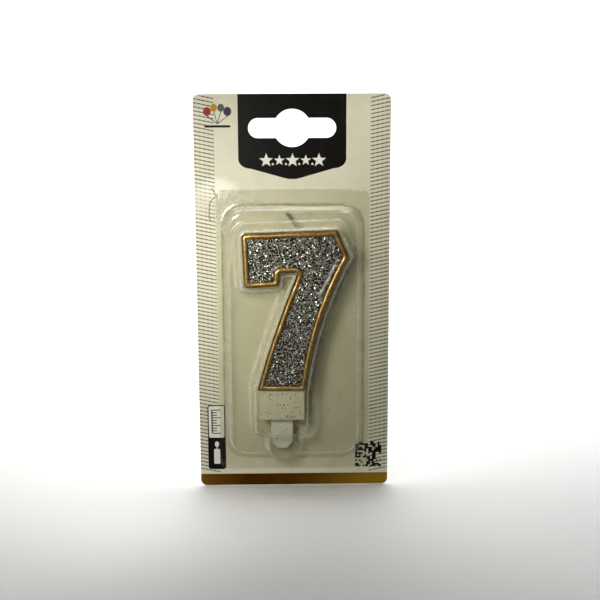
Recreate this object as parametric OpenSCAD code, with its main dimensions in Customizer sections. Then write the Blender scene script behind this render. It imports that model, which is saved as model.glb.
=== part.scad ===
// Number birthday candle, a seven, in its hanging blister pack.
// X runs to the right, Y to the back of the card and Z up. The origin is the centre of the
// card's hanging slot, on the card's back face.

/* [Card] */
// Width of the card
card_w = 70; // [66:0.5:80]
// Height of the card
card_h = 145; // [142:0.5:160]
// Thickness of the board
card_t = 0.5; // [0.3:0.05:0.8]
// Radius of the card's corners
card_r = 2.2; // [1:0.1:4]
// Distance from the card's top edge down to the centre of the hanging slot
slot_drop = 12; // [10:0.5:14]
// Length of the hanging slot, end to end
slot_w = 31.2; // [28:0.2:34]
// Height of the hanging slot's two arms
slot_h = 7; // [6:0.1:8]
// Radius of the round middle of the hanging slot
slot_bump_r = 6.7; // [5:0.1:8]
// Height of the foil band along the card's bottom edge
band_h = 4.4; // [3:0.1:6]
// Thickness of the foil band
band_t = 0.05; // [0.03:0.01:0.1]

/* [Candle] */
// Height of the wax, from the foot of the stub to the highest corner of the seven
wax_h = 70; // [70:0.1:71]
// Thickness of the wax
wax_t = 8.5; // [7:0.1:9]
// Width of the gold rim around the face
rim_w = 2.1; // [1.6:0.1:2.6]
// Height that the gold rim stands above the wax's face
rim_h = 1.1; // [0.8:0.1:1.3]
// Depth that the gold rim wraps down the side of the wax
skirt_h = 1.7; // [1:0.1:3]
// Thickness of the gold rim's wrap on the side
skirt_t = 0.35; // [0.25:0.05:0.5]
// Thickness of the glitter coat on the face
glitter_t = 0.4; // [0.2:0.05:0.6]
// Width of the plain wax stub under the seven
stub_w = 16.9; // [15:0.1:17.2]
// Thickness of the plain wax stub
stub_t = 8; // [7:0.1:8.2]
// Diameter of the wick
wick_d = 1.2; // [0.8:0.1:1.4]

/* [Stake] */
// Width of the plastic stake
stake_w = 7.9; // [6:0.1:9]
// Thickness of the plastic stake
stake_t = 2; // [1.4:0.1:2.6]
// Length of the stake below the wax
stake_reach = 11.4; // [9:0.1:12]
// Length of the stake's anchor inside the wax
anchor_h = 9; // [7:0.1:11]
// Radius of the eye in the anchor, which the wax flows through
anchor_eye_r = 1.5; // [1:0.1:2]

/* [Blister] */
// Thickness of the clear sheet
sheet_t = 0.3; // [0.2:0.05:0.4]
// Width of the sealed flange, side to side
flange_w = 55.2; // [54:0.2:58]
// Depth of the low tray that the pocket stands on
tray_depth = 3.5; // [3:0.1:4]
// Width of the tray where it leaves the flange
tray_w = 51.4; // [50.6:0.2:53]
// Run of the tray's sloped side, in plan
tray_run = 2.5; // [2:0.1:3]
// Corner radius of the tray where it leaves the flange
tray_r = 8; // [6:0.5:10]
// Depth of the pocket's front face, from the card
pocket_depth = 10.7; // [10.5:0.1:12]
// Gap in plan between the candle's outline and the pocket's front edge
pocket_gap = 1.1; // [1:0.1:1.4]
// Run of the pocket's sloped wall, in plan
pocket_run = 3.3; // [2.6:0.1:3.5]
// Depth of the thumb-shaped pocket over the stake
thumb_depth = 7.6; // [6.8:0.1:9]
// Gap in plan between the thumb's outline and its front edge
thumb_gap = 1.3; // [1:0.1:2]
// Run of the thumb's sloped wall, in plan
thumb_run = 2.2; // [1:0.1:2.4]

/* [Hidden] */

arc_steps = 5;
curve_steps = 9;
round_fn = 48;
tube_fn = 12;
cut = 1;

card_top = slot_drop;
card_bottom = slot_drop - card_h;

// Heights of the candle's levels, from the slot's centre
seven_top = -35.4;
stub_bottom = seven_top - wax_h;
leg_pocket_bottom = stub_bottom - 3.8;
foot_z = -93.9;
stub_mid_x = -4.45;

// Gap behind the candle, and the depths of its faces from the card's back face
back_gap = 0.05;
wax_back = card_t + back_gap;
wax_front = wax_back + wax_t;
rim_front = wax_front + rim_h;
rim_step = 0.4;
stake_mid = wax_back + 4;

// Flange and tray levels, from the slot's centre
flange_top = -21.7;
flange_bottom = -126.3;
flange_r = 3;
tray_top = -26.8;
tray_bottom = -122;

// The seven's outline: each corner is [x, z, radius], and the leg's two sides are curves
top_left = [-18.2, -36.5];
top_right = [15.6, seven_top];
tip = [19.8, -45];
foot_right = [4.2, foot_z - 0.1];
foot_left = [-13.1, foot_z + 0.1];
crook = [1.9, -50.4];
notch_left = [-5, -50.4];
serif_right = [-5, -55.3];
serif_left = [-17.5, -56];
leg_right_bend = [7.8, -66.2];
leg_left_bend = [-8.2, -74.8];

function bend_point(a, b, c, u) = (1 - u) * (1 - u) * a + 2 * u * (1 - u) * b + u * u * c;

// The inner points of a curve from a to c that bends towards b, as corners with no radius
function bend(a, b, c) =
    [for (i = [1 : curve_steps - 1]) let (p = bend_point(a, b, c, i / curve_steps)) [p.x, p.y, 0]];

function corner(p, r) = [p.x, p.y, r];

function seven_corners() = concat(
    [corner(top_left, 1.6), corner(top_right, 0.8), corner(tip, 1)],
    bend(tip, leg_right_bend, foot_right),
    [corner(foot_right, 0.7), corner(foot_left, 0.7)],
    bend(foot_left, leg_left_bend, crook),
    [corner(crook, 0.8), corner(notch_left, 0.9), corner(serif_right, 1.3), corner(serif_left, 1.6)]);

function unit(v) = v / norm(v);
function xy(p) = [p.x, p.y];
function cross2(a, b) = a.x * b.y - a.y * b.x;

// True where a clockwise outline turns outwards, so that its corner sticks out
function sticks_out(a, p, b) = cross2(p - a, b - p) < 0;

// The corner p between a and b, moved by d along both edges' inward normals
function moved_in(a, p, b, d) =
    let (e = unit(p - a), f = unit(b - p), n = [e.y, -e.x], m = [f.y, -f.x])
    p + d * (n + m) / (1 + n * m);

// A clockwise outline with every edge moved inwards by d, which is negative to move outwards
function inset(corners, d) =
    let (count = len(corners))
    [for (i = [0 : count - 1])
        let (
            a = xy(corners[(i + count - 1) % count]),
            p = xy(corners[i]),
            b = xy(corners[(i + 1) % count]),
            r = corners[i][2],
            q = moved_in(a, p, b, d)
        )
        [q.x, q.y, r == 0 ? 0 : max(0.15, r + (sticks_out(a, p, b) ? -d : d))]];

// The points of an outline whose corners are rounded to their radii
function rounded(corners) =
    let (count = len(corners))
    [for (i = [0 : count - 1])
        let (
            p = xy(corners[i]),
            e = unit(xy(corners[(i + count - 1) % count]) - p),
            f = unit(xy(corners[(i + 1) % count]) - p),
            r = corners[i][2],
            half = acos(e * f) / 2
        )
        each r == 0 ? [p] :
            let (
                centre = p + unit(e + f) * r / sin(half),
                from = p + e * r / tan(half) - centre,
                to = p + f * r / tan(half) - centre
            )
            [for (k = [0 : arc_steps]) centre + r * unit(from * (1 - k / arc_steps) + to * k / arc_steps)]];

// Stands a plan upright: its own Y becomes Z, and its own Z becomes depth in front of the card's back
module stand() rotate([90, 0, 0]) children();

// A plan between two depths in front of the card's back face
module slab(from, to) translate([0, 0, from]) linear_extrude(to - from) children();

module seven_plan(d = 0) polygon(rounded(inset(seven_corners(), d)));

// A rectangle between two heights with round corners
module round_plan(width, bottom, top, r) {
    translate([-width / 2, bottom + r]) square([width, top - bottom - 2 * r]);
    translate([-width / 2 + r, bottom]) square([width - 2 * r, top - bottom]);
    for (x = [-1, 1], z = [bottom + r, top - r])
        translate([x * (width / 2 - r), z]) circle(r, $fn = round_fn);
}

module slot_plan() {
    arm = slot_w / 2 - slot_h / 2;
    translate([-arm, -slot_h / 2]) square([2 * arm, slot_h]);
    for (x = [-arm, arm]) translate([x, 0]) circle(slot_h / 2, $fn = round_fn);
    circle(slot_bump_r, $fn = round_fn);
}

module backing_card() {
    color("beige") stand() slab(0, card_t) difference() {
        round_plan(card_w, card_bottom, card_top, card_r);
        slot_plan();
    }
}

module foil_band() {
    color("darkgoldenrod") stand() slab(card_t, card_t + band_t) intersection() {
        round_plan(card_w, card_bottom, card_top, card_r);
        translate([-card_w / 2, card_bottom]) square([card_w, band_h]);
    }
}

// The stub under the seven, drawn up into the foot by 1 mm so that the two are one piece of wax
module stub_plan() {
    r = 0.6;
    translate([stub_mid_x, 0]) round_plan(stub_w, stub_bottom, foot_z + cut, r);
}

module stake_plan() {
    tip_z = stub_bottom - stake_reach;
    half = stake_w / 2;
    translate([stub_mid_x, 0]) difference() {
        polygon([
            [-half, stub_bottom + anchor_h], [half, stub_bottom + anchor_h],
            [half, tip_z + 2.4], [half - 2.2, tip_z], [2.2 - half, tip_z], [-half, tip_z + 2.4]]);
        translate([0, stub_bottom + anchor_h - 3]) circle(anchor_eye_r, $fn = round_fn);
    }
}

module stake_solid() stand() slab(stake_mid - stake_t / 2, stake_mid + stake_t / 2) stake_plan();

module stake() color("gainsboro") stake_solid();

// The wick's route as [x, z, depth]: its bent free end first, then down inside the leg of the seven
wick_route = [
    [-2.3, -30, 1.9], [-1.3, -31.3, 2.2], [-0.3, -32.7, 2.6], [0.8, -34.3, 3.4], [2, -36.4, 4.3],
    [5.2, -48, 4.7], [4.6, -55, 4.7], [-2.6, -84, 4.7]];

// A round tube of radius r along a route
module tube(route, r) {
    n = len(route);
    rings = [for (i = [0 : n - 1])
        let (
            along = unit(route[min(i + 1, n - 1)] - route[max(i - 1, 0)]),
            side = unit(cross(along, [0, 0, 1])),
            up = cross(side, along)
        )
        for (k = [0 : tube_fn - 1])
            route[i] + r * (cos(k * 360 / tube_fn) * side + sin(k * 360 / tube_fn) * up)];
    polyhedron(
        points = rings,
        faces = concat(
            [[for (k = [0 : tube_fn - 1]) tube_fn - 1 - k]],
            [[for (k = [0 : tube_fn - 1]) (n - 1) * tube_fn + k]],
            [for (i = [0 : n - 2], k = [0 : tube_fn - 1])
                let (a = i * tube_fn + k, b = i * tube_fn + (k + 1) % tube_fn)
                each [[a, b + tube_fn, a + tube_fn], [a, b, b + tube_fn]]]));
}

module wick() color("dimgray") stand() tube(wick_route, wick_d / 2);

module wax_body() {
    channel_gap = 0.04;
    color("ivory") difference() {
        stand() union() {
            slab(wax_back, wax_front - skirt_h) seven_plan();
            slab(wax_front - skirt_h, wax_front) seven_plan(skirt_t);
            slab(wax_back, wax_back + stub_t) stub_plan();
        }
        stake_solid();
        stand() tube(wick_route, wick_d / 2 + channel_gap);
    }
}

module gold_rim() {
    color("goldenrod") stand() difference() {
        union() {
            slab(wax_front - skirt_h, rim_front - rim_step) seven_plan();
            slab(rim_front - rim_step - 0.01, rim_front) seven_plan(rim_step);
        }
        slab(wax_front - skirt_h - cut, wax_front) seven_plan(skirt_t);
        slab(wax_front - cut, rim_front - rim_step + 0.01) seven_plan(rim_w);
        slab(rim_front - rim_step, rim_front + cut) seven_plan(rim_w - rim_step);
        slab(wax_back, wax_back + stub_t) stub_plan();
    }
}

module glitter_coat() {
    color("silver") stand() slab(wax_front, wax_front + glitter_t) seven_plan(rim_w);
}

// The blister's raised shapes, each a list of corners that stands on the card and slopes inwards.
// The arm and the leg of the pocket follow the seven, and the thumb holds the stake.
tray_corners = [
    [-tray_w / 2, tray_top, tray_r], [tray_w / 2, tray_top, tray_r],
    [tray_w / 2, tray_bottom, tray_r], [-tray_w / 2, tray_bottom, tray_r]];
arm_corners = [
    corner(top_left, 1.6), corner(top_right, 0.8), corner(tip, 1), [17, -50.4, 0.5],
    corner(notch_left, 0.9), corner(serif_right, 1.3), corner(serif_left, 1.6)];
leg_corners = concat(
    [[2.6, -42, 0.8], corner(tip, 1)],
    bend(tip, leg_right_bend, foot_right),
    [corner(foot_right, 0), [4.2, leg_pocket_bottom, 1.2], [-12.9, leg_pocket_bottom, 1.2], corner(foot_left, 0)],
    bend(foot_left, leg_left_bend, crook));
thumb_corners = [[-7.8, -100, 1], [-0.4, -100, 1], [-0.4, -119.1, 3.6], [-7.8, -119.1, 3.6]];

// A solid that stands on the card from an outline grown by base to one grown by front
module loft(corners, base, front, depth) {
    low = rounded(inset(corners, -base));
    high = rounded(inset(corners, -front));
    n = len(low);
    polyhedron(
        points = concat([for (p = low) [p.x, p.y, 0]], [for (p = high) [p.x, p.y, depth]]),
        faces = concat(
            [[for (i = [0 : n - 1]) n - 1 - i], [for (i = [0 : n - 1]) n + i]],
            [for (i = [0 : n - 1]) [i, (i + 1) % n, n + (i + 1) % n]],
            [for (i = [0 : n - 1]) [i, n + (i + 1) % n, n + i]]));
}

// Every raised shape of the blister, made smaller all over by d
module raised(d) {
    loft(tray_corners, -d, -tray_run - d, tray_depth - d);
    loft(arm_corners, pocket_gap + pocket_run - d, pocket_gap - d, pocket_depth - d);
    loft(leg_corners, pocket_gap + pocket_run - d, pocket_gap - d, pocket_depth - d);
    loft(thumb_corners, thumb_gap + thumb_run - d, thumb_gap - d, thumb_depth - d);
}

// Joins its children into a single mesh, at their own size
module one_mesh() resize([0, 0, 0]) children();

module blister() {
    color([0.85, 0.9, 0.9, 0.4]) stand() translate([0, 0, card_t]) one_mesh() difference() {
        union() {
            linear_extrude(sheet_t) round_plan(flange_w, flange_bottom, flange_top, flange_r);
            raised(0);
        }
        translate([0, 0, -0.001]) raised(sheet_t);
    }
}

backing_card();
foil_band();
blister();
wax_body();
gold_rim();
glitter_coat();
wick();
stake();
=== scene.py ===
"""Looks of a number birthday candle, a seven, sealed in a clear blister on a hanging card.

Depths are measured in front of the card's back face, so a point at depth d has y = -d.
"""

import math
import random

import bmesh
import bpy
import numpy as np
from mathutils import Matrix, Vector, geometry, noise


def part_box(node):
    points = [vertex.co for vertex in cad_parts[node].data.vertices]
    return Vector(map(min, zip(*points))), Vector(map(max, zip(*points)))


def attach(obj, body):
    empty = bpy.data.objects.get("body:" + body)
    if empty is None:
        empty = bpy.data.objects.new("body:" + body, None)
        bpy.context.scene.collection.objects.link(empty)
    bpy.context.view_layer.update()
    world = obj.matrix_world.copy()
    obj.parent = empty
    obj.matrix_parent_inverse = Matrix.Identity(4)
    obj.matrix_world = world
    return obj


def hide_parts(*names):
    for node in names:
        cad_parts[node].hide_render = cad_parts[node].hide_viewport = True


MM = 0.001

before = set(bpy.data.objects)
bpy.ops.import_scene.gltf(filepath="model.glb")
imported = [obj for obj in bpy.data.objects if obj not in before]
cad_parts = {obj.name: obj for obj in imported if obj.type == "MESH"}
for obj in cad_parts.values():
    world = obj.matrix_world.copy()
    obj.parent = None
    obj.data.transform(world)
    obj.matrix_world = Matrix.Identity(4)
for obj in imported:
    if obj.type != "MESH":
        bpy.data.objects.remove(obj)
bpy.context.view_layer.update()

# ---------------------------------------------------------------- places, all from the frame

card_low, card_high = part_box("backing_card")
CARD_FRONT = -card_low.y
INK_DEPTH = CARD_FRONT + 0.012 * MM
_, foil_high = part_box("foil_band")
blister_low, blister_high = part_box("blister")
wax_low, wax_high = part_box("wax_body")
rim_low, rim_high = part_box("gold_rim")
glitter_low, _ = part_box("glitter_coat")
stake_low, stake_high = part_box("stake")
WAX_BACK = -wax_high.y
WAX_FRONT = -wax_low.y
RIM_FRONT = -rim_low.y
SKIRT_FOOT = -rim_high.y
RIM_WIDTH = 2.1 * MM
RIM_STEP = 0.4 * MM


# ---------------------------------------------------------------- meshes


def mesh_piece(name, points, faces, material, smooth=True):
    """A new object with that mesh, in the row frame."""
    mesh = bpy.data.meshes.new(name)
    mesh.from_pydata([tuple(p) for p in points], [], faces)
    mesh.validate()
    mesh.materials.append(material)
    mesh.polygons.foreach_set("use_smooth", [smooth] * len(mesh.polygons))
    piece = bpy.data.objects.new(name, mesh)
    bpy.context.scene.collection.objects.link(piece)
    return piece


def outward(piece):
    """Turns the faces of a closed mesh to look outwards."""
    work = bmesh.new()
    work.from_mesh(piece.data)
    bmesh.ops.recalc_face_normals(work, faces=work.faces)
    work.to_mesh(piece.data)
    work.free()
    return piece


def applied(piece):
    """Bakes a piece's modifiers into its mesh."""
    graph = bpy.context.evaluated_depsgraph_get()
    done = bpy.data.meshes.new_from_object(piece.evaluated_get(graph))
    piece.modifiers.clear()
    piece.data = done


def area_of(loop):
    """Signed area of a closed outline."""
    x, z = loop[:, 0], loop[:, 1]
    return 0.5 * float(np.sum(x * np.roll(z, -1) - np.roll(x, -1) * z))


def flat_loops(node, depth):
    """The closed outlines, as arrays of (x, z), of a CAD node's flat faces at a depth, longest first."""
    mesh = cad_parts[node].data
    spots = [(round(v.co.x, 6), round(v.co.z, 6)) for v in mesh.vertices]
    level = [abs(v.co.y + depth) < 0.002 * MM for v in mesh.vertices]
    edges = set()
    for face in mesh.polygons:
        if all(level[i] for i in face.vertices):
            corners = [spots[i] for i in face.vertices]
            for edge in zip(corners, corners[1:] + corners[:1]):
                if edge[::-1] in edges:
                    edges.remove(edge[::-1])
                elif edge[0] != edge[1]:
                    edges.add(edge)
    follow = dict(edges)
    loops = []
    while follow:
        start, here = follow.popitem()
        loop = [start]
        while here != start:
            loop.append(here)
            here = follow.pop(here)
        loops.append(np.array(loop))
    return sorted(loops, key=lambda loop: -abs(area_of(loop)))


def paired(outer, inner):
    """The inner outline, turned round so that its points answer the outer's one to one."""
    if area_of(outer) * area_of(inner) < 0:
        inner = inner[::-1]
    turns = [np.roll(inner, k, axis=0) for k in range(len(inner))]
    return min(turns, key=lambda turned: float(np.sum((turned - outer) ** 2)))


def refined(outer, inner, step):
    """Both outlines with more points, no further apart than step along the outer one."""
    fine_outer, fine_inner = [], []
    for k in range(len(outer)):
        nxt = (k + 1) % len(outer)
        count = max(1, math.ceil(np.linalg.norm(outer[nxt] - outer[k]) / step))
        for s in range(count):
            u = s / count
            fine_outer.append(outer[k] * (1 - u) + outer[nxt] * u)
            fine_inner.append(inner[k] * (1 - u) + inner[nxt] * u)
    return np.array(fine_outer), np.array(fine_inner)


def seven_outlines(step):
    """The seven's outer outline and the outline of its glitter face, with matching points."""
    near_edge = flat_loops("gold_rim", RIM_FRONT)[0]
    face = paired(near_edge, flat_loops("glitter_coat", -glitter_low.y)[0])
    outer = near_edge + (near_edge - face) * RIM_STEP / (RIM_WIDTH - RIM_STEP)
    if area_of(outer) < 0:
        outer, face = outer[::-1], face[::-1]
    return refined(outer, face, step)


def distance_to(points, loop):
    """Signed distance of each point to a closed outline, negative inside."""
    best = np.full(len(points), 1e9)
    inside = np.zeros(len(points), bool)
    for a, b in zip(loop, np.roll(loop, -1, axis=0)):
        along = b - a
        t = np.clip((points - a) @ along / max(float(along @ along), 1e-18), 0, 1)
        off = points - a - t[:, None] * along
        best = np.minimum(best, np.einsum("ij,ij->i", off, off))
        if a[1] != b[1]:
            crosses = (a[1] > points[:, 1]) != (b[1] > points[:, 1])
            at = a[0] + (points[:, 1] - a[1]) / (b[1] - a[1]) * (b[0] - a[0])
            inside ^= crosses & (points[:, 0] < at)
    return np.sqrt(best) * np.where(inside, -1, 1)


def rounded_box(low_x, low_z, high_x, high_z, r):
    """A rectangle's outline with round corners, anticlockwise."""
    loop, steps = [], 6
    left, right, foot, top = low_x + r, high_x - r, low_z + r, high_z - r
    for quarter, (x, z) in enumerate([(right, foot), (right, top), (left, top), (left, foot)]):
        for s in range(steps + 1):
            a = math.radians(90 * (quarter - 1 + s / steps))
            loop.append((x + r * math.cos(a), z + r * math.sin(a)))
    return np.array(loop)


def disc(x, z, rx, rz, steps):
    """An ellipse's outline."""
    turn = [2 * math.pi * s / steps for s in range(steps)]
    return np.array([(x + rx * math.cos(a), z + rz * math.sin(a)) for a in turn])


def star(x, z, r):
    """A five-pointed star's outline."""
    spokes, points = [], 5
    for s in range(2 * points):
        reach = r if s % 2 == 0 else 0.42 * r
        a = math.pi / 2 + math.pi * s / points
        spokes.append((x + reach * math.cos(a), z + reach * math.sin(a)))
    return np.array(spokes)


def inked(name, loops, material, lift=0.0):
    """Flat print on the card's front, with outlines in millimetres. One inside another is a hole."""
    curve = bpy.data.curves.new(name, "CURVE")
    curve.dimensions = "2D"
    curve.fill_mode = "BOTH"
    for loop in loops:
        spline = curve.splines.new("POLY")
        spline.points.add(len(loop) - 1)
        spline.points.foreach_set("co", [c for x, z in loop for c in (x, z, 0, 1)])
        spline.use_cyclic_u = True
    source = bpy.data.objects.new(name, curve)
    flat = bpy.data.meshes.new_from_object(source)
    bpy.data.objects.remove(source)
    depth = INK_DEPTH + lift * MM
    points = [(v.co.x * MM, -depth, v.co.y * MM) for v in flat.vertices]
    faces = [tuple(f.vertices) for f in flat.polygons]
    bpy.data.meshes.remove(flat)
    piece = mesh_piece(name, points, faces, material, smooth=False)
    for face in piece.data.polygons:
        if face.normal.y > 0:
            face.flip()
    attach(piece, "card")
    return piece


# ---------------------------------------------------------------- materials


class Shade:
    """A material's node tree, with short calls."""

    def __init__(self, name):
        self.material = bpy.data.materials.new(name)
        self.material.use_nodes = True
        self.tree = self.material.node_tree
        self.surface = self.tree.nodes["Principled BSDF"]
        self.output = self.tree.nodes["Material Output"]
        self.spot = self.node("TexCoord").outputs["Object"]

    def node(self, kind, settings=None, **inputs):
        """A node of that kind. Inputs are by name with underscores for spaces, or by number as _0."""
        made = self.tree.nodes.new("ShaderNode" + kind)
        for key, value in (settings or {}).items():
            setattr(made, key, value)
        for key, value in inputs.items():
            socket = made.inputs[int(key[1:])] if key[1:].isdigit() else made.inputs[key.replace("_", " ")]
            self.put(socket, value)
        return made

    def put(self, socket, value):
        """Links a socket to another node's output, or sets its value."""
        if isinstance(value, bpy.types.NodeSocket):
            self.tree.links.new(value, socket)
        elif isinstance(value, tuple) and len(value) == 3 and socket.type == "RGBA":
            socket.default_value = (*value, 1)
        else:
            socket.default_value = value

    def set(self, **inputs):
        """Sets the surface's own sockets."""
        for key, value in inputs.items():
            self.put(self.surface.inputs[key.replace("_", " ")], value)

    def noise(self, size, detail, roughness=0.55, where=None):
        """Smooth noise from 0 to 1, with lumps about size millimetres across."""
        made = self.node("TexNoise", Vector=where or self.spot, Scale=1 / (size * MM), Detail=detail,
                         Roughness=roughness)
        return made.outputs["Fac"]

    def cells(self, size):
        """Voronoi cells about size millimetres across."""
        return self.node("TexVoronoi", Vector=self.spot, Scale=1 / (size * MM))

    def ramp(self, value, *stops):
        """A colour that follows a value: each stop is (position, colour)."""
        made = self.node("ValToRGB", Fac=value)
        band = made.color_ramp
        for _ in range(len(stops) - 2):
            band.elements.new(0.5)
        for element, (position, colour) in zip(band.elements, stops):
            element.position = position
            element.color = (*colour, 1)
        return made.outputs["Color"]

    def math(self, operation, a, b=0.0, clamp=False):
        """One arithmetic step."""
        return self.node("Math", {"operation": operation, "use_clamp": clamp}, _0=a, _1=b).outputs[0]

    def spread(self, value, low, high, to_low=0.0, to_high=1.0):
        """A value's range moved to another, clamped."""
        made = self.node("MapRange", Value=value, From_Min=low, From_Max=high, To_Min=to_low, To_Max=to_high)
        return made.outputs[0]

    def mix(self, share, a, b):
        """Colour a where share is 0, b where it is 1."""
        made = self.node("Mix", {"data_type": "RGBA"})
        self.put(made.inputs[0], share)
        self.put(made.inputs[6], a)
        self.put(made.inputs[7], b)
        return made.outputs[2]

    def axes(self):
        """The object's own x, y and z, in metres."""
        made = self.node("SeparateXYZ", Vector=self.spot)
        return made.outputs[0], made.outputs[1], made.outputs[2]

    def bump(self, height, distance, strength):
        """A normal with that height in it, distance millimetres deep."""
        return self.node("Bump", Height=height, Distance=distance * MM, Strength=strength).outputs["Normal"]


def srgb(r, g, b):
    """A colour on the screen's 0 to 255 scale, as the linear colour that shaders take."""
    return tuple((c / 255 / 12.92) if c <= 10 else ((c / 255 + 0.055) / 1.055) ** 2.4 for c in (r, g, b))


def board_material():
    """Coated off-white board: printed face, plain grey back and a raw fibrous edge."""
    m = Shade("coated_board")
    _, y, _ = m.axes()
    mottle = m.noise(9, 5)
    face = m.ramp(mottle, (0.3, srgb(222, 217, 190)), (0.7, srgb(231, 227, 202)))
    # The face turns paler in a patch near the top-left bend.
    pale_patch = m.math("ADD", patch(m, -26.5, -21.5, 10.5, 6), m.math("MULTIPLY", m.noise(2.2, 4), 0.5))
    face = m.mix(m.spread(pale_patch, 0.4, 0.85), face, srgb(246, 245, 228))
    fibres = m.noise(0.35, 3, where=m.node("Mapping", Vector=m.spot, Scale=(1, 1, 0.3)).outputs[0])
    back = m.ramp(fibres, (0.3, srgb(196, 192, 182)), (0.7, srgb(212, 209, 200)))
    raw = m.ramp(m.noise(0.12, 3), (0.3, srgb(205, 200, 186)), (0.7, srgb(232, 228, 216)))
    is_front = m.math("LESS_THAN", y, -(CARD_FRONT - 0.01 * MM))
    is_back = m.math("GREATER_THAN", y, -0.01 * MM)
    m.set(Base_Color=m.mix(is_front, m.mix(is_back, raw, back), face),
          Roughness=m.spread(m.math("ADD", is_front, m.noise(2, 3)), 0.2, 1.8, 0.78, 0.42),
          Normal=m.bump(m.noise(0.5, 4), 0.012, 0.5))
    return m.material


def patch(m, x, z, half_x, half_z):
    """1 at a spot on the card, given in millimetres, falling to 0 at an ellipse round it."""
    at_x, _, at_z = m.axes()
    off_x = m.math("DIVIDE", m.math("SUBTRACT", at_x, x * MM), half_x * MM)
    off_z = m.math("DIVIDE", m.math("SUBTRACT", at_z, z * MM), half_z * MM)
    squares = m.math("ADD", m.math("MULTIPLY", off_x, off_x), m.math("MULTIPLY", off_z, off_z))
    return m.math("SUBTRACT", 1.0, m.math("SQRT", squares), clamp=True)


def ink_material(name, dark, light, roughness=0.42):
    """Offset ink on the coated board, a little uneven."""
    m = Shade(name)
    tone = m.noise(6, 6, 0.6)
    m.set(Base_Color=m.ramp(tone, (0.25, dark), (0.75, light)),
          Roughness=m.spread(m.noise(1.2, 3), 0.2, 0.8, roughness - 0.06, roughness + 0.06),
          Specular_IOR_Level=0.1,
          Normal=m.bump(m.noise(0.5, 4), 0.01, 0.4))
    return m.material


def dashed_ink():
    """Dark ink of the fine lines, laid on more thinly at even steps, and paler in a patch near a crease."""
    m = Shade("line_ink")
    x, _, _ = m.axes()
    beat = m.math("SINE", m.math("MULTIPLY", x, 2 * math.pi / (1.62 * MM)))
    thin = m.math("ADD", m.spread(beat, 0.0, 0.95, 0.0, 0.4), m.spread(m.noise(4, 3), 0.35, 0.65, 0.0, 0.1))
    pale_patch = m.spread(patch(m, -33, -25, 9, 8), 0.05, 0.7, 0.0, 0.6)
    share = m.math("ADD", thin, pale_patch, clamp=True)
    m.set(Base_Color=m.mix(share, srgb(34, 29, 13), srgb(226, 222, 196)),
          Roughness=m.spread(m.noise(1.2, 3), 0.2, 0.8, 0.45, 0.6),
          Specular_IOR_Level=0.15)
    return m.material


def foil_material():
    """Hot-stamped gold foil, with the fine grain of the board under it, and a painted reflection from dark
    brown-gold left of the middle to bright gold near the right end.
    """
    m = Shade("stamped_foil")
    x, _, _ = m.axes()
    # Painted reflection: the colour ramp runs along x across the band, as the foil's sheen falls on it.
    along = m.spread(m.math("ADD", x, m.math("MULTIPLY", m.noise(30, 2), 0.012)), -0.03, 0.045)
    m.set(Base_Color=m.ramp(along, (0.0, srgb(120, 84, 22)), (0.25, srgb(82, 50, 10)),
                            (0.5, srgb(100, 66, 14)), (0.85, srgb(168, 130, 42)), (1.0, srgb(140, 104, 30))),
          Metallic=1.0,
          Roughness=m.spread(m.noise(0.8, 4), 0.3, 0.7, 0.26, 0.38),
          Normal=m.bump(m.noise(1.5, 4), 0.02, 0.5))
    return m.material


def wax_material():
    """Pale translucent wax with a few dark crumbs of glitter in its skin."""
    m = Shade("candle_wax")
    crumbs = m.cells(1.9)
    crumb = m.math("LESS_THAN", crumbs.outputs["Distance"], 0.075)
    some = m.math("GREATER_THAN", m.node("SeparateColor", Color=crumbs.outputs["Color"]).outputs[0], 0.45)
    speck = m.math("MULTIPLY", crumb, some)
    body = m.ramp(m.noise(5, 4), (0.3, srgb(243, 238, 213)), (0.7, srgb(250, 246, 225)))
    m.set(Base_Color=m.mix(speck, body, srgb(58, 54, 44)),
          Roughness=m.spread(m.noise(1.5, 4), 0.25, 0.75, 0.38, 0.55),
          Subsurface_Weight=0.5,
          Subsurface_Radius=(1.0, 0.75, 0.5),
          Subsurface_Scale=1.2 * MM,
          Normal=m.bump(m.noise(1.1, 4), 0.04, 0.6))
    return m.material


def gold_material():
    """Metallic gold paint on raised wax, with a painted highlight in cream along the bead's top and painted
    shade in brown down its sides.
    """
    m = Shade("gold_paint")
    _, y, _ = m.axes()
    # Painted highlight and shade: colour set by depth alone, from dark brown at the bead's foot to cream at
    # its top.
    painted_crown_light = m.spread(y, -(WAX_FRONT + 0.3 * MM), -(RIM_FRONT - 0.02 * MM), 0.0, 0.85)
    tone = m.math("ADD", painted_crown_light, m.spread(m.noise(1.0, 6, 0.62), 0.3, 0.7, -0.14, 0.16), clamp=True)
    m.set(Base_Color=m.ramp(tone, (0.05, srgb(66, 42, 9)), (0.4, srgb(140, 100, 38)),
                            (0.7, srgb(206, 162, 82)), (0.95, srgb(248, 222, 162))),
          Metallic=0.8,
          Roughness=m.spread(m.noise(0.5, 4), 0.25, 0.75, 0.26, 0.42),
          Coat_Weight=0.4,
          Coat_Roughness=0.22,
          Coat_Tint=srgb(255, 240, 205),
          Normal=m.bump(m.noise(0.4, 5), 0.06, 0.8))
    return m.material


def glitter_bed_material():
    """The lacquer bed under the flakes: dark, with a fine sparkle of its own."""
    m = Shade("glitter_bed")
    grain = m.cells(0.34)
    tilt = m.node("VectorMath", {"operation": "SUBTRACT"}, _0=grain.outputs["Color"], _1=(0.5, 0.5, 0.5))
    leaning = m.node("VectorMath", {"operation": "MULTIPLY_ADD"}, _0=tilt.outputs[0], _1=(0.9, 0.9, 0.9),
                     _2=m.node("NewGeometry").outputs["Normal"]).outputs[0]
    shade = m.node("SeparateColor", Color=grain.outputs["Color"]).outputs[1]
    m.set(Base_Color=m.ramp(shade, (0.3, srgb(18, 17, 15)), (0.95, srgb(70, 68, 62))),
          Metallic=0.4,
          Roughness=0.38,
          Normal=m.node("VectorMath", {"operation": "NORMALIZE"}, _0=leaning).outputs[0])
    return m.material


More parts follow.
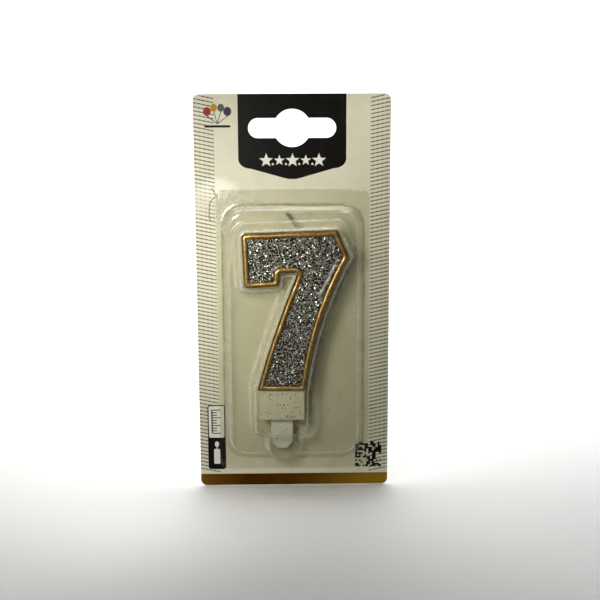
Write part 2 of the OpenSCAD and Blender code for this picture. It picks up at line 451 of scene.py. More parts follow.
def flake_material(name, dark, light, metal):
    """Aluminised film, painted in one of three brightnesses that stand for a glint, half shade and shade."""
    m = Shade(name)
    tint = m.node("SeparateColor", Color=m.cells(0.6).outputs["Color"]).outputs[0]
    m.set(Base_Color=m.ramp(tint, (0.1, dark), (0.9, light)),
          Metallic=metal,
          Roughness=m.spread(m.noise(0.3, 2), 0.3, 0.7, 0.2, 0.32))
    return m.material


def crumb_material():
    """Loose dark crumbs of glitter."""
    m = Shade("glitter_crumb")
    m.set(Base_Color=m.ramp(m.noise(1.5, 2), (0.3, srgb(18, 16, 12)), (0.7, srgb(52, 48, 38))),
          Metallic=0.2,
          Roughness=0.45)
    return m.material


def wick_material():
    """Dark waxed cotton braid."""
    m = Shade("waxed_cotton")
    fibres = m.noise(0.16, 4, where=m.node("Mapping", Vector=m.spot, Scale=(1, 1, 0.35)).outputs[0])
    m.set(Base_Color=m.ramp(fibres, (0.3, srgb(112, 108, 94)), (0.7, srgb(164, 159, 142))),
          Roughness=m.spread(fibres, 0.2, 0.8, 0.5, 0.75),
          Sheen_Weight=0.2,
          Normal=m.bump(fibres, 0.05, 0.7))
    return m.material


def stake_material():
    """Frosted white plastic that lets some light through."""
    m = Shade("frosted_plastic")
    m.set(Base_Color=m.ramp(m.noise(4, 3), (0.3, srgb(243, 241, 228)), (0.7, srgb(251, 250, 240))),
          Roughness=m.spread(m.noise(0.4, 3), 0.3, 0.7, 0.42, 0.55),
          Subsurface_Weight=0.35,
          Subsurface_Radius=(1.0, 0.9, 0.75),
          Subsurface_Scale=1.2 * MM,
          Normal=m.bump(m.noise(0.3, 3), 0.01, 0.5))
    return m.material


def sheet_material():
    """Clear thermoformed sheet: see-through face on, cloudy on its drawn walls with painted sheen there,
    painted highlights along its fold crests and painted shade along its fold feet.
    """
    m = Shade("clear_sheet")
    m.tree.nodes.remove(m.surface)
    waves = m.bump(m.noise(7, 2), 0.1, 0.3)
    _, y, _ = m.axes()
    raised = m.spread(y, -(CARD_FRONT + 0.9 * MM), -(CARD_FRONT + 0.5 * MM), 1.0, 0.0)
    wall = m.node("Attribute", {"attribute_name": "wall"}).outputs["Fac"]
    painted_highlight = m.node("Attribute", {"attribute_name": "painted_highlight"}).outputs["Fac"]
    foot = m.node("Attribute", {"attribute_name": "foot"}).outputs["Fac"]
    streaky = m.noise(3.5, 4, 0.6)
    tint = m.mix(raised, srgb(252, 252, 249), srgb(246, 246, 242))
    tint = m.mix(m.math("MINIMUM", wall, 1.0), tint, srgb(244, 243, 238))
    # Painted shade: the see-through tint turns dark along the feet of folds, for the dark lines the sheet's
    # bends show.
    tint = m.mix(m.math("MULTIPLY", foot, m.spread(streaky, 0.3, 0.7, 0.2, 0.7)), tint, srgb(176, 172, 152))
    clear = m.node("BsdfTransparent", Color=tint)
    gloss = m.node("BsdfGlossy", Color=(0.95, 0.95, 0.93), Roughness=0.14, Normal=waves)
    haze = m.node("BsdfDiffuse", Color=srgb(236, 235, 222), Roughness=0.4)
    mirror_share = m.math("MINIMUM", m.node("Fresnel", IOR=1.5, Normal=waves).outputs[0], 0.07)
    # Partly the drawn walls' real cloudiness, partly painted sheen: a white haze that grows with the wall's
    # steepness.
    milk_and_sheen = m.math("MULTIPLY", wall, m.spread(streaky, 0.3, 0.7, 0.03, 0.1))
    # Painted highlight: a white haze along fold crests and the soft folds, where lamps would glint.
    painted_edge_highlight = m.math("MULTIPLY", painted_highlight, m.spread(streaky, 0.3, 0.7, 0.08, 0.34))
    # Painted glints: a white haze, broken up by noise, in the top-left corner where the sheet is crushed.
    painted_crumple_glints = m.math("MAXIMUM", patch(m, -21, -25.5, 13, 5.5), patch(m, -26, -32, 5, 12))
    crackle = m.spread(m.noise(1.6, 5, 0.7), 0.42, 0.68, 0.0, 0.5)
    painted_crumple_glints = m.math("MULTIPLY", m.spread(painted_crumple_glints, 0.05, 0.8, 0.0, 1.0), crackle)
    veil = m.math("ADD", m.math("ADD", milk_and_sheen, painted_edge_highlight), m.math("ADD", painted_crumple_glints, 0.006), clamp=True)
    see = m.node("MixShader", Fac=veil, _1=clear.outputs[0], _2=haze.outputs[0])
    both = m.node("MixShader", Fac=mirror_share, _1=see.outputs[0], _2=gloss.outputs[0])
    m.tree.links.new(both.outputs[0], m.output.inputs["Surface"])
    return m.material


# ---------------------------------------------------------------- the printed card


def finished(node, material):
    """Gives a CAD node that stays a material, and returns its object."""
    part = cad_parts[node]
    part.data.materials.clear()
    part.data.materials.append(material)
    return part


def print_card():
    """The board's own finish, and the ink on its face, in millimetres from the hanging slot's centre."""
    finished("backing_card", board_material())
    finished("foil_band", foil_material())
    black = ink_material("black_ink", srgb(10, 9, 6), srgb(24, 22, 17))
    white = ink_material("white_ink", srgb(232, 230, 216), srgb(242, 240, 228))
    line_ink = dashed_ink()

    header_panel(black)
    header_ornament(white)
    pinstripes(line_ink)
    crease(ink_material("crease_shade", srgb(70, 64, 44), srgb(120, 114, 88), 0.6))
    size_tag(black, white)
    mosaic(black)
    balloons(black)


def header_panel(ink):
    """The dark panel round the hanging slot, with a blunt point below."""
    half, top, side_foot = 19.2, card_high.z / MM - 0.02, -10.9
    steps = [math.radians(90 * s / 8) for s in range(9)]
    right = [(half - 4.4 * (1 - math.cos(a)), side_foot - 3.4 * math.sin(a)) for a in steps]
    left = [(-x, z) for x, z in reversed(right)]
    apex = [(2.6, -17.75), (1.2, -18.05), (-1.2, -18.05), (-2.6, -17.75)]
    outline = [(half, top), *right, *apex, *left, (-half, top)]
    slot = max(flat_loops("backing_card", CARD_FRONT)[1:], key=lambda loop: abs(area_of(loop))) / MM
    inked("header_panel", [outline, slot], ink)


def header_ornament(ink):
    """A generic row of stars and dots."""
    middle, height, apart = 0.1, -11.4, 4.7
    shapes = [star(middle + apart * k, height, 2.6 if k % 2 == 0 else 2.0) for k in range(-2, 3)]
    shapes += [disc(middle + apart * k, height - 1.3, 0.4, 0.4, 16) for k in (-1.5, -0.5, 0.5, 1.5)]
    inked("header_ornament", shapes, ink, lift=0.008)


def pinstripes(ink):
    """The slanting fine lines down both edges of the card."""
    pitch, slope, thick = 1.41, 0.21, 0.38
    inner = 27.8
    edge = card_high.x / MM - 0.05
    corner = 2.2
    top, foot = card_high.z / MM - 0.1, foil_high.z / MM + 0.1
    points, faces = [], []
    for side in (-1, 1):
        z = top
        while z > foot + slope * (edge - inner):
            near_top = max(0.0, corner - (top - z))
            reach = edge - (corner - math.sqrt(max(corner ** 2 - near_top ** 2, 0.0)))
            for x, height in ((inner, z - slope * (edge - inner)), (reach, z - slope * (edge - reach))):
                points.append((side * x * MM, -INK_DEPTH, (height + thick / 2) * MM))
                points.append((side * x * MM, -INK_DEPTH, (height - thick / 2) * MM))
            k = len(points)
            faces.append((k - 4, k - 3, k - 1, k - 2) if side > 0 else (k - 4, k - 2, k - 1, k - 3))
            z -= pitch
    piece = mesh_piece("pinstripes", points, faces, ink, smooth=False)
    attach(piece, "card")


def crease(ink):
    """The dark line where the card is bent, beside the blister's top corner: painted shade of the bend."""
    bends = [(-28.9, -21.0), (-27.3, -23.7), (-28.9, -25.5), (-29.8, -26.9), (-30.0, -31.3), (-29.5, -32.8)]
    for part, (start, end) in enumerate(zip(bends, bends[1:])):
        a, b = Vector(start), Vector(end)
        side = Vector((a.y - b.y, b.x - a.x)).normalized() * 0.13
        corners = [tuple(p) for p in (a - side, b - side, b + side, a + side)]
        inked(f"crease_{part}", [corners], ink, lift=0.003)


def size_tag(black, white):
    """A tag in two halves with generic signs: a scale of ticks above, a small candle below."""
    low_x, low_z, high_x, high_z = -32.1, -126.7, -25.5, -101.7
    split, line = -114.4, 0.42
    inked("tag_body", [rounded_box(low_x, low_z, high_x, high_z, 1.0)], black, lift=0.004)
    window = rounded_box(low_x + line, split, high_x - line, high_z - line, 0.55)
    inked("tag_window", [window], white, lift=0.008)
    middle = (low_x + high_x) / 2
    ruler = [rounded_box(middle - 1.9, -112.6, middle - 1.45, -103.6, 0.1)]
    for k in range(10):
        reach = 3.0 if k % 3 == 0 else 1.7
        ruler.append(rounded_box(middle - 1.5, -103.85 - k, middle - 1.5 + reach, -103.5 - k, 0.1))
    for part, shape in enumerate(ruler):
        inked(f"tag_tick_{part}", [shape], black, lift=0.012)
    candle = [rounded_box(middle - 1.15, -124.6, middle + 1.15, -118.8, 0.35),
              rounded_box(middle - 0.17, -118.95, middle + 0.17, -118.0, 0.1),
              disc(middle, -116.95, 0.8, 1.15, 24)]
    for part, shape in enumerate(candle):
        inked(f"tag_candle_{part}", [shape], white, lift=0.008)


def mosaic(ink):
    """A generic block of small squares, laid at random."""
    draw = random.Random(7)
    low_x, low_z, size, count = 22.9, -126.2, 9.8, 14
    cell = size / count
    points, faces = [], []
    for i in range(count):
        for j in range(count):
            if draw.random() < 0.52:
                x, z = low_x + i * cell, low_z + j * cell
                k = len(points)
                for dx, dz in ((0, 0), (cell, 0), (cell, cell), (0, cell)):
                    points.append(((x + dx) * MM, -INK_DEPTH, (z + dz) * MM))
                faces.append((k, k + 1, k + 2, k + 3))
    piece = mesh_piece("mosaic", points, faces, ink, smooth=False)
    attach(piece, "card")


def balloons(string_ink):
    """A generic bunch of balloons in the card's corner."""
    knot = (-26.4, 1.6)
    colours = [srgb(150, 52, 30), srgb(188, 140, 40), srgb(84, 96, 84), srgb(74, 52, 78)]
    places = [(-30.0, 5.9, 1.35), (-27.6, 7.2, 1.2), (-25.1, 7.2, 1.2), (-22.8, 5.9, 1.4)]
    for k, ((x, z, r), colour) in enumerate(zip(places, colours)):
        ink = ink_material(f"balloon_ink_{k}", colour, tuple(min(1.0, 1.2 * c) for c in colour))
        inked(f"balloon_{k}", [disc(x, z, r, 1.15 * r, 24)], ink, lift=0.006)
        foot = Vector((x, z - 1.15 * r))
        along = (Vector(knot) - foot).normalized()
        side = Vector((-along.y, along.x)) * 0.12
        string = [foot - side, foot + side, Vector(knot) + side, Vector(knot) - side]
        inked(f"balloon_string_{k}", [[tuple(p) for p in string]], string_ink, lift=0.004)
    bow = rounded_box(knot[0] - 4.6, knot[1] - 1.3, knot[0] + 4.6, knot[1] - 0.5, 0.35)
    inked("balloon_base", [bow], string_ink, lift=0.004)


# ---------------------------------------------------------------- the candle


def ring_faces(rows, count, closed, start=0):
    """Faces between rings of count points each. If closed, the last ring joins the first."""
    faces = []
    for row in range(rows if closed else rows - 1):
        a, b = start + row * count, start + (row + 1) % rows * count
        for k in range(count):
            nxt = (k + 1) % count
            faces.append((a + k, a + nxt, b + nxt, b + k))
    return faces


def ringed(name, loops, depths, material):
    """A capped solid whose outline at each depth is the loop there."""
    count, rows = len(loops[0]), len(loops)
    points = [(x, -depth, z) for loop, depth in zip(loops, depths) for x, z in loop]
    faces = ring_faces(rows, count, closed=False)
    faces.append(tuple(range(count))[::-1])
    faces.append(tuple(range((rows - 1) * count, rows * count)))
    return outward(mesh_piece(name, points, faces, material))


def stub_sides():
    """The x of the plain stub's two sides."""
    x = [v.co.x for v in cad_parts["wax_body"].data.vertices if v.co.z < wax_low.z + 5 * MM]
    return min(x), max(x)


def cast_wax(outer, face, material):
    """The wax seven with soft back edges, and its stub, joined into one casting."""
    span = (face - outer) / RIM_WIDTH
    edge = [(0.6, 0.0), (0.28, 0.1), (0.08, 0.3), (0.0, 0.62)]
    steps = [(inset * MM, WAX_BACK + rise * MM) for inset, rise in edge]
    steps += [(0.0, SKIRT_FOOT - 0.05 * MM), (0.3 * MM, SKIRT_FOOT), (0.3 * MM, WAX_FRONT - 0.02 * MM)]
    loops = [outer + span * inset for inset, _ in steps]
    wax = ringed("wax_casting", loops, [depth for _, depth in steps], material)

    low_x, high_x = stub_sides()
    top, thick = wax_low.z + 12.6 * MM, 8.0
    back = [(0.7, 0.0), (0.3, 0.1), (0.08, 0.32), (0.0, 0.65)]
    profile = back + [(inset, thick - depth) for inset, depth in reversed(back)]
    rings = []
    for inset, _ in profile:
        i = inset * MM
        rings.append(rounded_box(low_x + i, wax_low.z + i, high_x - i, top, 0.7 * MM))
    stub = ringed("stub", rings, [WAX_BACK + depth * MM for _, depth in profile], material)
    join = wax.modifiers.new("join", "BOOLEAN")
    join.operation = "UNION"
    join.object = stub
    join.solver = "EXACT"
    applied(wax)
    bpy.data.objects.remove(stub)
    wax.data.polygons.foreach_set("use_smooth", [True] * len(wax.data.polygons))
    wax.data.set_sharp_from_angle(angle=math.radians(38))
    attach(wax, "candle")
    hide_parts("wax_body")


def wobble(x, z, size, seed):
    """Smooth noise about zero, with lumps about size millimetres across."""
    return noise.noise(Vector((x, z, seed * size * MM)) / (size * MM))


def pipe_rim(outer, face, material):
    """The gold bead: a rounded cord of wax along the edge, that wraps a little way down the side."""
    span = (face - outer) / RIM_WIDTH
    rise = RIM_FRONT - WAX_FRONT
    middle, half = 1.05 * MM, 1.12 * MM
    profile = [(0.32 * MM, SKIRT_FOOT + 0.02 * MM), (-0.02 * MM, SKIRT_FOOT),
               (-0.06 * MM, SKIRT_FOOT + 0.2 * MM), (-0.06 * MM, WAX_FRONT - 0.5 * MM)]
    for k in range(17):
        a = math.pi * k / 16
        profile.append((middle - half * math.cos(a), WAX_FRONT - 0.05 * MM + rise * math.sin(a)))
    profile.append((middle + half, WAX_FRONT - 0.3 * MM))
    profile.append((0.32 * MM, WAX_FRONT - 0.3 * MM))
    points = []
    for inset, depth in profile:
        for (x, z), (sx, sz) in zip(outer, span):
            height = max(0.0, (depth - WAX_FRONT) / rise)
            skirt = max(0.0, (WAX_FRONT - depth) / (WAX_FRONT - SKIRT_FOOT))
            shift = 0.12 * MM * wobble(x, z, 3.5, 1) + 0.05 * MM * wobble(x, z, 1.2, 2)
            swell = 0.13 * MM * wobble(x, z, 4.2, 3) + 0.05 * MM * wobble(x, z, 1.0, 4)
            ragged = 0.35 * MM * wobble(x, z, 2.2, 5) * skirt if inset < 0 else 0.0
            place = inset + shift * (0.3 + 0.7 * height)
            points.append((x + sx * place, -(depth + swell * height + ragged), z + sz * place))
    faces = ring_faces(len(profile), len(outer), closed=True)
    rim = outward(mesh_piece("gold_bead", points, faces, material))
    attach(rim, "candle")
    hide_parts("gold_rim")


def spots_inside(loop, step, draw, margin):
    """Jittered points about step apart inside a closed outline."""
    low, high = loop.min(0), loop.max(0)
    spots = []
    for i in range(int((high[0] - low[0]) / step) + 2):
        for j in range(int((high[1] - low[1]) / step) + 2):
            x = low[0] + (i + draw.uniform(-0.4, 0.4)) * step
            z = low[1] + (j + draw.uniform(-0.4, 0.4)) * step
            spots.append((x, z))
    spots = np.array(spots)
    return spots[distance_to(spots, loop) < -margin]


def lay_plate(corners, plates, centre, turn, r):
    """Adds a six-sided plate of radius r, turned that way, to a list of corners and one of faces."""
    k = len(corners)
    for s in range(6):
        a = -math.pi * s / 3
        corners.append(centre + turn @ Vector((r * math.cos(a), 0, r * math.sin(a))))
    plates.append(tuple(range(k, k + 6)))


def lay_glitter(outer, face, bed_ink, lit_and_shaded_flakes):
    """The glitter face: a slightly uneven bed, and thousands of tiny flakes at all angles."""
    draw = random.Random(21)
    bed_depth = -glitter_low.y
    edge = outer + (face - outer) * 0.93
    inner = spots_inside(edge, 0.8 * MM, draw, 0.3 * MM)
    points = [Vector(p) for p in edge] + [Vector(p) for p in inner]
    rim_edges = [(k, (k + 1) % len(edge)) for k in range(len(edge))]
    verts, _, faces, *_ = geometry.delaunay_2d_cdt(points, rim_edges, [], 1, 1e-9)
    base = [(p.x, -(bed_depth + 0.08 * MM * wobble(p.x, p.y, 4, 9)), p.y) for p in verts]
    bed = mesh_piece("glitter_bed", base, [tuple(f) for f in faces], bed_ink)
    for poly in bed.data.polygons:
        if poly.normal.y > 0:
            poly.flip()
    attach(bed, "candle")
    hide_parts("glitter_coat")

    corners, plates, flake_lighting = [], [], []
    for x, z in spots_inside(face, 0.3 * MM, draw, -0.05 * MM):
        lean = min(abs(draw.gauss(0, 24)), 62)
        spin = Matrix.Rotation(draw.uniform(0, 2 * math.pi), 3, "Y")
        turn = spin @ Matrix.Rotation(math.radians(lean), 3, "X")
        turn = turn @ Matrix.Rotation(draw.uniform(0, 6.3), 3, "Y")
        # Painted glint and shade: each flake takes one of three copies of the same silver film, bright, grey
        # and dark, at random.
        tone = draw.choices((0, 1, 2), (31, 21, 48))[0]
        flake_lighting.append(tone)
        r = (draw.uniform(0.17, 0.25) if tone == 0 else draw.uniform(0.13, 0.21)) * MM
        lift = (draw.uniform(0.02, 0.1) + (0.06 if tone == 0 else 0.0)) * MM
        centre = Vector((x, -(bed_depth + lift + 0.08 * MM * wobble(x, z, 4, 9)), z))
        lay_plate(corners, plates, centre, turn, r)
    flakes = mesh_piece("glitter_flakes", corners, plates, lit_and_shaded_flakes[0], smooth=False)
    for ink in lit_and_shaded_flakes[1:]:
        flakes.data.materials.append(ink)
    flakes.data.polygons.foreach_set("material_index", flake_lighting)
    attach(flakes, "candle")


def braid_wick(material):
    """The wick: three strands twisted along its route, which the CAD wick's rings give."""
    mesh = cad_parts["wick"].data
    spots = np.array(sorted({tuple(round(c, 6) for c in v.co) for v in mesh.vertices}, key=lambda p: -p[2]))
    route = wick_route(spots)
    rows = len(route)
    points, faces = [], []
    sides, strands, strand_r, lay_r = 8, 3, 0.3 * MM, 0.26 * MM
    for strand in range(strands):
        length = 0.0
        start = len(points)
        for k, here in enumerate(route):
            if k:
                length += (here - route[k - 1]).length
            along = (route[min(k + 1, rows - 1)] - route[max(k - 1, 0)]).normalized()
            side = along.cross(Vector((0, 1, 0))).normalized()
            up = side.cross(along)
            twist = 2 * math.pi * (length / (2.4 * MM) + strand / strands)
            centre = here + lay_r * (math.cos(twist) * side + math.sin(twist) * up)
            r = strand_r * (1 + 0.12 * wobble(here.x + strand, here.z, 0.9, strand))
            if k == 0:
                r *= 0.6
            for s in range(sides):
                a = 2 * math.pi * s / sides
                points.append(centre + r * (math.cos(a) * side + math.sin(a) * up))
        faces += ring_faces(rows, sides, closed=False, start=start)
        faces.append(tuple(range(start, start + sides)))
        faces.append(tuple(range(start + (rows - 1) * sides, start + rows * sides)))
    wick = outward(mesh_piece("wick_braid", points, faces, material))
    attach(wick, "candle")
    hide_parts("wick")


def wick_route(spots):
    """The centre line through the CAD wick's rings, tip first, with points close together."""
    rings = 8
    per_ring = len(spots) // rings
    centres = [Vector(spots[k * per_ring:(k + 1) * per_ring].mean(0)) for k in range(rings)]
    fine = []
    for k in range(rings - 1):
        before, a, b, after = [centres[min(max(k + step, 0), rings - 1)] for step in (-1, 0, 1, 2)]
        count = max(2, int((b - a).length / (0.3 * MM)))
        for s in range(count):
            u = s / count
            fine.append(0.5 * (2 * a + (b - before) * u + (2 * before - 5 * a + 4 * b - after) * u * u
                               + (3 * a - before - 3 * b + after) * u ** 3))
    fine.append(centres[-1])
    return fine


def finish_stake(material):
    """The frosted stake keeps its CAD shape, with its edges eased."""
    ease = finished("stake", material).modifiers.new("eased edges", "BEVEL")
    ease.width = 0.3 * MM
    ease.segments = 3
    ease.limit_method = "ANGLE"
    ease.angle_limit = math.radians(40)


# ---------------------------------------------------------------- the blister


def smooth_step_height(inside, run, depth, fillet):
    """Height of a sloped wall at a distance inside its foot, with rounded foot and top edges."""
    slope = depth / run
    rise = slope * inside
    soft = fillet * slope
    foot = 0.5 * (rise + np.sqrt(rise ** 2 + soft ** 2)) - 0.5 * (np.sqrt(depth ** 2 + soft ** 2) - depth)
    over = foot - depth
    return depth + 0.5 * (over - np.sqrt(over ** 2 + soft ** 2))


def ridge(spots, start, end, tall, wide):
    """A soft fold in the sheet between two spots in millimetres, fading at both ends."""
    start, end = np.array(start) * MM, np.array(end) * MM
    length = np.linalg.norm(end - start)
    along = (end - start) / length
    t = (spots - start) @ along / length
    across = (spots - start) @ np.array([-along[1], along[0]])
    fade = np.clip(np.minimum(t, 1 - t) * 4, 0, 1)
    return tall * MM * fade * fade * (3 - 2 * fade) * np.exp(-(across / (wide * MM)) ** 2)


def smooth_max(a, b, blend):
    """The larger of two heights, blended where they are about equal."""
    return 0.5 * (a + b + np.sqrt((a - b) ** 2 + blend ** 2))


SHEET = 0.3 * MM
TRAY_DEPTH, TRAY_RUN = 3.5 * MM, 2.5 * MM
POCKET_DEPTH, POCKET_GAP, POCKET_RUN = 10.7 * MM, 1.1 * MM, 3.3 * MM
THUMB_DEPTH, THUMB_GAP, THUMB_RUN = 7.6 * MM, 1.3 * MM, 2.2 * MM
# Soft folds in the sheet: start, end, height and half width in millimetres, and how strong a painted
# highlight streak along them is.
FOLDS = [((16.2, -44.8), (8.4, -60.2), 0.2, 0.5, 2.4), ((-9.5, -50.5), (-1.5, -45.5), 0.08, 0.6, 0.9),
         ((-15.5, -123.7), (-8.5, -124.5), 0.12, 0.5, 0.8)]


class Blister:
    """The blister's outer surface as a height over the card."""

    def __init__(self, outer):
        self.seven = outer
        low_x, high_x = stub_sides()
        self.stub = rounded_box(low_x, wax_low.z - 3.8 * MM, high_x, wax_low.z + 14 * MM, 1.2 * MM)
        middle = (stake_low.x + stake_high.x) / 2
        low, high = wax_low.z - 13.7 * MM, wax_low.z + 5 * MM
        self.thumb = rounded_box(middle - 3.7 * MM, low, middle + 3.7 * MM, high, 3.6 * MM)
        half = 25.7 * MM
        self.tray = rounded_box(-half, -122 * MM, half, -26.8 * MM, 8 * MM)
        self.flange = rounded_box(blister_low.x, blister_low.z, blister_high.x, blister_high.z, 3 * MM)

    def height(self, spots):
        """Height of the sheet's outer face over the card at each spot."""
        held = np.minimum(distance_to(spots, self.seven), distance_to(spots, self.stub))
        ripple = np.array([wobble(a, b, 14, 31) for a, b in spots])
        fine = np.array([wobble(a, b, 5, 32) for a, b in spots])
        tray_in = -distance_to(spots, self.tray) + 0.15 * MM * ripple
        tray = smooth_step_height(tray_in, TRAY_RUN, TRAY_DEPTH, 0.55 * MM)
        tray = tray * (1 + 0.05 * ripple + 0.02 * fine)
        pocket_in = POCKET_GAP + POCKET_RUN - held + 0.1 * MM * ripple
        pocket = smooth_step_height(pocket_in, POCKET_RUN, POCKET_DEPTH, 0.22 * MM)
        dish = np.clip(-held / (4.2 * MM), 0, 1)
        pocket = pocket - 0.32 * MM * dish * dish * (3 - 2 * dish)
        thumb_in = THUMB_GAP + THUMB_RUN - distance_to(spots, self.thumb)
        thumb = smooth_step_height(thumb_in, THUMB_RUN, THUMB_DEPTH, 0.16 * MM)
        top = smooth_max(smooth_max(tray, pocket, 0.5 * MM), thumb, 0.4 * MM)
        for start, end, tall, wide, _ in FOLDS:
            top = top + ridge(spots, start, end, tall, wide)
        return SHEET + np.maximum(top, 0.0) + 0.012 * MM

    def spots(self):
        """Points close together where the sheet bends, and further apart where it is flat."""
        found = [self.flange]
        offsets = [-3.2, -2.2, -1.4, -0.7, -0.2, 0.2, 0.5, 0.75, 1.0, 1.2, 1.4, 1.65,
                   2.0, 2.5, 3.0, 3.5, 4.0, 4.35, 4.7, 5.1, 5.6, 6.4]
        for loop in (self.seven, self.stub, self.thumb):
            for offset in offsets:
                found.append(beside(loop, offset * MM, 0.55 * MM))
        for offset in [-4.6, -3.9, -3.3, -2.9, -2.6, -2.3, -2.0, -1.6, -1.1, -0.6, -0.2, 0.15, 0.5, 1.0]:
            found.append(beside(self.tray, offset * MM, 0.9 * MM))
        for start, end, *_ in FOLDS:
            for across in (-1.0, -0.6, -0.3, 0.0, 0.3, 0.6, 1.0):
                found.append(strip(start, end, across))
        found.append(spots_inside(self.flange, 1.5 * MM, random.Random(3), 0.2 * MM))
        spots = np.concatenate(found)
        return thinned(spots[distance_to(spots, self.flange) < 0.001 * MM], 0.24 * MM)


def strip(start, end, across):
    """Points along a line between two spots, moved sideways, all in millimetres."""
    start, end = np.array(start), np.array(end)
    along = end - start
    side = np.array([-along[1], along[0]]) / np.linalg.norm(along) * across
    return np.array([start + along * (k + 0.5) / 30 + side for k in range(30)]) * MM


def beside(loop, offset, step):
    """Points along a closed outline, moved outwards by offset."""
    spots = []
    for a, b in zip(loop, np.roll(loop, -1, axis=0)):
        length = np.linalg.norm(b - a)
        if length < 1e-9:
            continue
        out = np.array([b[1] - a[1], a[0] - b[0]]) / length
        for s in range(max(1, round(length / step))):
            spots.append(a + (b - a) * (s + 0.5) * step / max(length, step) + out * offset)
    spots = np.array(spots)
    return spots[np.abs(distance_to(spots, loop) - offset) < 0.08 * MM]


def thinned(spots, gap):
    """Spots with no two closer than gap, the earliest kept."""
    kept, grid = [], {}
    for spot in spots:
        i, j = int(spot[0] // gap), int(spot[1] // gap)
        near = [grid[a, b] for a in (i - 1, i, i + 1) for b in (j - 1, j, j + 1) if (a, b) in grid]
        if all((spot[0] - n[0]) ** 2 + (spot[1] - n[1]) ** 2 >= gap * gap for n in near):
            grid[i, j] = spot
            kept.append(spot)
    return np.array(kept)


def form_blister(outer, material):
    """The clear sheet, meshed from its height over the card and given its thickness."""
    shape = Blister(outer)
    spots = shape.spots()
    heights = shape.height(spots)
    _, _, faces, *_ = geometry.delaunay_2d_cdt([Vector(p) for p in spots], [], [], 0, 1e-9)
    points = [(x, -(CARD_FRONT + h), z) for (x, z), h in zip(spots, heights)]
    sheet = mesh_piece("blister_sheet", points, [tuple(f) for f in faces], material)
    step = 0.22 * MM
    sides = [np.array(way) * step for way in ((1, 0), (-1, 0), (0, 1), (0, -1))]
    east, west, north, south = [shape.height(spots + side) for side in sides]
    slope = np.hypot(east - west, north - south) / (2 * step)
    bend = (east + west + north + south - 4 * heights) / step ** 2 * MM
    # Painted shade on the feet of folds: all along the tray, elsewhere only where a wall faces down from the
    # lamp.
    faces_from_lamp = np.clip(((north - south) / (2 * step) - 0.9) / 0.6, 0, 1)
    by_tray = np.abs(distance_to(spots, shape.tray) + TRAY_RUN / 2) < 2.6 * MM
    fold = np.clip((bend - 0.3) / 1.3, 0, 1)
    dark = fold * np.where(by_tray, 0.8, faces_from_lamp)
    to_thumb = distance_to(spots, shape.thumb) / MM
    under_wax = (wax_low.z - spots[:, 1]) / MM
    # Painted highlight: round the thumb pocket's shoulders the walls get 2.4 times the wall value, so a
    # stronger white haze.
    thumb_glare = (to_thumb > 0.6) & (to_thumb < 3.8) & (under_wax > 3.5) & (under_wax < 12)
    # Painted highlight streaks along the soft folds, as strong as the last value in FOLDS.
    painted_streaks = sum(ridge(spots, start, end, white, wide / 2) for start, end, _, wide, white in FOLDS) / MM
    marks = {"wall": np.clip((slope - 0.35) / 1.2, 0, 1) * np.where(thumb_glare, 2.4, 1), "foot": dark,
             "painted_highlight": np.maximum(np.clip((-bend - 0.25) / 1.1, 0, 1), 0.8 * (fold - dark)) + painted_streaks}
    for mark, values in marks.items():
        sheet.data.attributes.new(mark, "FLOAT", "POINT").data.foreach_set("value", values.astype(np.float32))
    for poly in sheet.data.polygons:
        if poly.normal.y > 0:
            poly.flip()
    sheet.data.update()
    wall = sheet.modifiers.new("wall", "SOLIDIFY")
    wall.thickness = SHEET
    wall.offset = -1
    applied(sheet)
    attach(sheet, "blister")
    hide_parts("blister")


def strew_crumbs(material):
    """Loose crumbs of glitter on the card under the blister and on the candle's stub."""
    draw = random.Random(11)
    corners, plates = [], []

    def strew(count, x_span, z_span, depth, radii, settled=1):
        """Crumbs between two x and two z in millimetres, more of them low down if settled is over 1."""
        for _ in range(count):
            x = draw.uniform(*x_span) * MM
            z = (z_span[0] + (z_span[1] - z_span[0]) * draw.random() ** settled) * MM
            r = draw.uniform(*radii) * MM
            spin = Matrix.Rotation(draw.uniform(0, 6.3), 3, "Y")
            turn = spin @ Matrix.Rotation(draw.uniform(0, 0.5), 3, "X")
            lay_plate(corners, plates, Vector((x, -depth, z)), turn, r)

    strew(70, (-23, 23), (-118, -30), CARD_FRONT + 0.15 * MM, (0.1, 0.2), settled=1.6)
    on_card = mesh_piece("card_crumbs", corners, plates, material, smooth=False)
    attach(on_card, "card")

    corners.clear()
    plates.clear()
    strew(46, (-12.4, 3.5), (-104.6, -94.8), WAX_BACK + 8.1 * MM, (0.15, 0.27))
    strew(9, (-7.8, -1.0), (-114, -106), -stake_low.y + 0.08 * MM, (0.14, 0.24))
    on_candle = mesh_piece("candle_crumbs", corners, plates, material, smooth=False)
    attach(on_candle, "candle")


# ---------------------------------------------------------------- floor, lights and camera


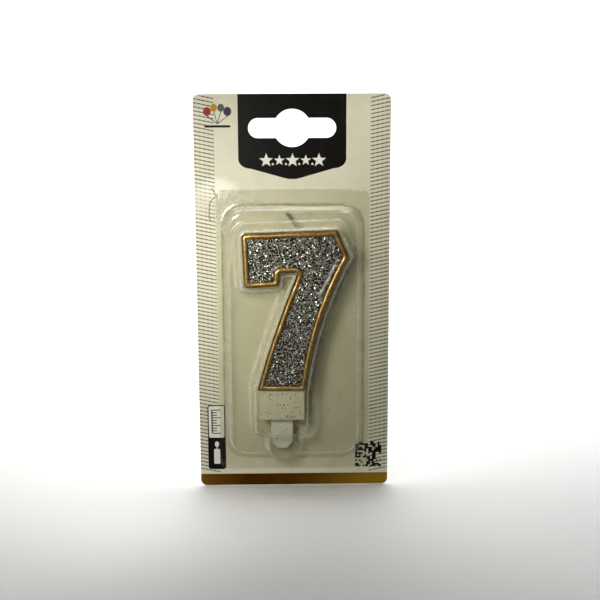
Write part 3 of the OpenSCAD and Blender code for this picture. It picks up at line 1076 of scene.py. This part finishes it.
def build_studio():
    """A pale floor that sweeps up behind and in front, lamps on the card, and one on each sweep."""
    m = Shade("pale_sweep")
    m.set(Base_Color=m.ramp(m.noise(60, 2), (0.3, (0.88, 0.88, 0.87)), (0.7, (0.9, 0.9, 0.89))),
          Roughness=0.7)
    seam = -0.015
    sweep("floor", seam, 0.35, 0.4, m.material)
    front = sweep("front_floor", seam, -1.2, -0.4, m.material)
    # The front sweep shows, but it throws no light on the card.
    front.visible_diffuse = False
    front.visible_glossy = False

    world = bpy.data.worlds.new("soft_room")
    bpy.context.scene.world = world
    world.use_nodes = True
    sky = world.node_tree.nodes["Background"]
    sky.inputs["Color"].default_value = (1.0, 0.99, 0.96, 1)
    sky.inputs["Strength"].default_value = 0.03
    bpy.context.scene.view_settings.view_transform = "Standard"

    warm, white = (1.0, 0.985, 0.93), (1.0, 1.0, 1.0)
    area_light("key", (-0.073, -0.15, -0.004), (-0.045, 0.0, -0.054), 0.06, 0.053, warm, 80)
    area_light("strip", (-0.185, -0.306, -0.015), (0.006, 0.0, -0.06), 0.025, 0.024,
               (1.0, 0.99, 0.95), 50, tall=0.26, roll=27)
    area_light("corner", (0.05, -0.09, 0.06), (0.03, 0.0, 0.002), 0.03, 0.0062, warm, 55)
    area_light("backdrop", (0.0, 0.25, 0.7), (0.0, 0.8, 0.22), 0.8, 12, white, 150)
    area_light("front_backdrop", (0.0, -0.55, 0.75), (0.0, -1.4, 0.1), 0.9, 16, white, 150)


def sweep(name, start, bend, radius, material):
    """A strip of floor from start to bend, both along y, that curves up there into a wall."""
    profile = [(start, 0.0), (bend, 0.0)]
    for s in range(1, 13):
        a = math.radians(90 * s / 12)
        profile.append((bend + radius * math.sin(a), abs(radius) * (1 - math.cos(a))))
    wall_top, half_width = 2.2, 2.5
    profile.append((bend + radius, wall_top))
    floor_z = card_low.z - 0.2 * MM
    points = [(x, y, floor_z + z) for y, z in profile for x in (-half_width, half_width)]
    faces = [(2 * k, 2 * k + 1, 2 * k + 3, 2 * k + 2) for k in range(len(profile) - 1)]
    piece = mesh_piece(name, points, faces, material)
    return piece


def area_light(name, place, target, size, watts, colour, spread, tall=None, roll=0):
    """An area light that looks at a target, with its beam's spread and its roll in degrees."""
    lamp = bpy.data.lights.new(name, "AREA")
    lamp.size = size
    lamp.spread = math.radians(spread)
    if tall:
        lamp.shape = "RECTANGLE"
        lamp.size_y = tall
    lamp.energy = watts
    lamp.color = colour
    holder = bpy.data.objects.new(name, lamp)
    holder.location = place
    look = (Vector(target) - Vector(place)).to_track_quat("-Z", "Y").to_matrix()
    holder.rotation_euler = (look @ Matrix.Rotation(math.radians(roll), 3, "Z")).to_euler()
    bpy.context.scene.collection.objects.link(holder)


def place_camera():
    """The camera a little above the card's middle, tilted down at it."""
    distance, elevation, azimuth, roll = 0.42, math.radians(11.6), math.radians(-0.8), math.radians(-0.28)
    target = Vector((2.5 * MM, -CARD_FRONT, -62.15 * MM))
    back = Vector((math.sin(azimuth) * math.cos(elevation), -math.cos(azimuth) * math.cos(elevation),
                   math.sin(elevation)))
    lens = bpy.data.cameras.new("camera")
    lens.lens = 69.1
    lens.sensor_width = 36
    lens.clip_start = 0.01
    camera = bpy.data.objects.new("camera", lens)
    camera.matrix_world = (Matrix.Translation(target + back * distance)
                           @ (-back).to_track_quat("-Z", "Y").to_matrix().to_4x4()
                           @ Matrix.Rotation(roll, 4, "Z"))
    bpy.context.scene.collection.objects.link(camera)
    bpy.context.scene.camera = camera


place_camera()
build_studio()
print_card()
seven_outer, seven_face = seven_outlines(0.5 * MM)
cast_wax(seven_outer, seven_face, wax_material())
pipe_rim(seven_outer, seven_face, gold_material())
# Lit, half shaded and shaded copies of one silver film: painted glint and painted shade.
lit_and_shaded_flakes = [flake_material("flake_painted_glint", srgb(238, 238, 232), srgb(253, 253, 250), 0.5),
               flake_material("flake_painted_half_shade", srgb(88, 87, 82), srgb(136, 135, 128), 0.6),
               flake_material("flake_painted_shade", srgb(20, 19, 17), srgb(44, 42, 37), 0.6)]
lay_glitter(seven_outer, seven_face, glitter_bed_material(), lit_and_shaded_flakes)
braid_wick(wick_material())
finish_stake(stake_material())
form_blister(seven_outer, sheet_material())
strew_crumbs(crumb_material())
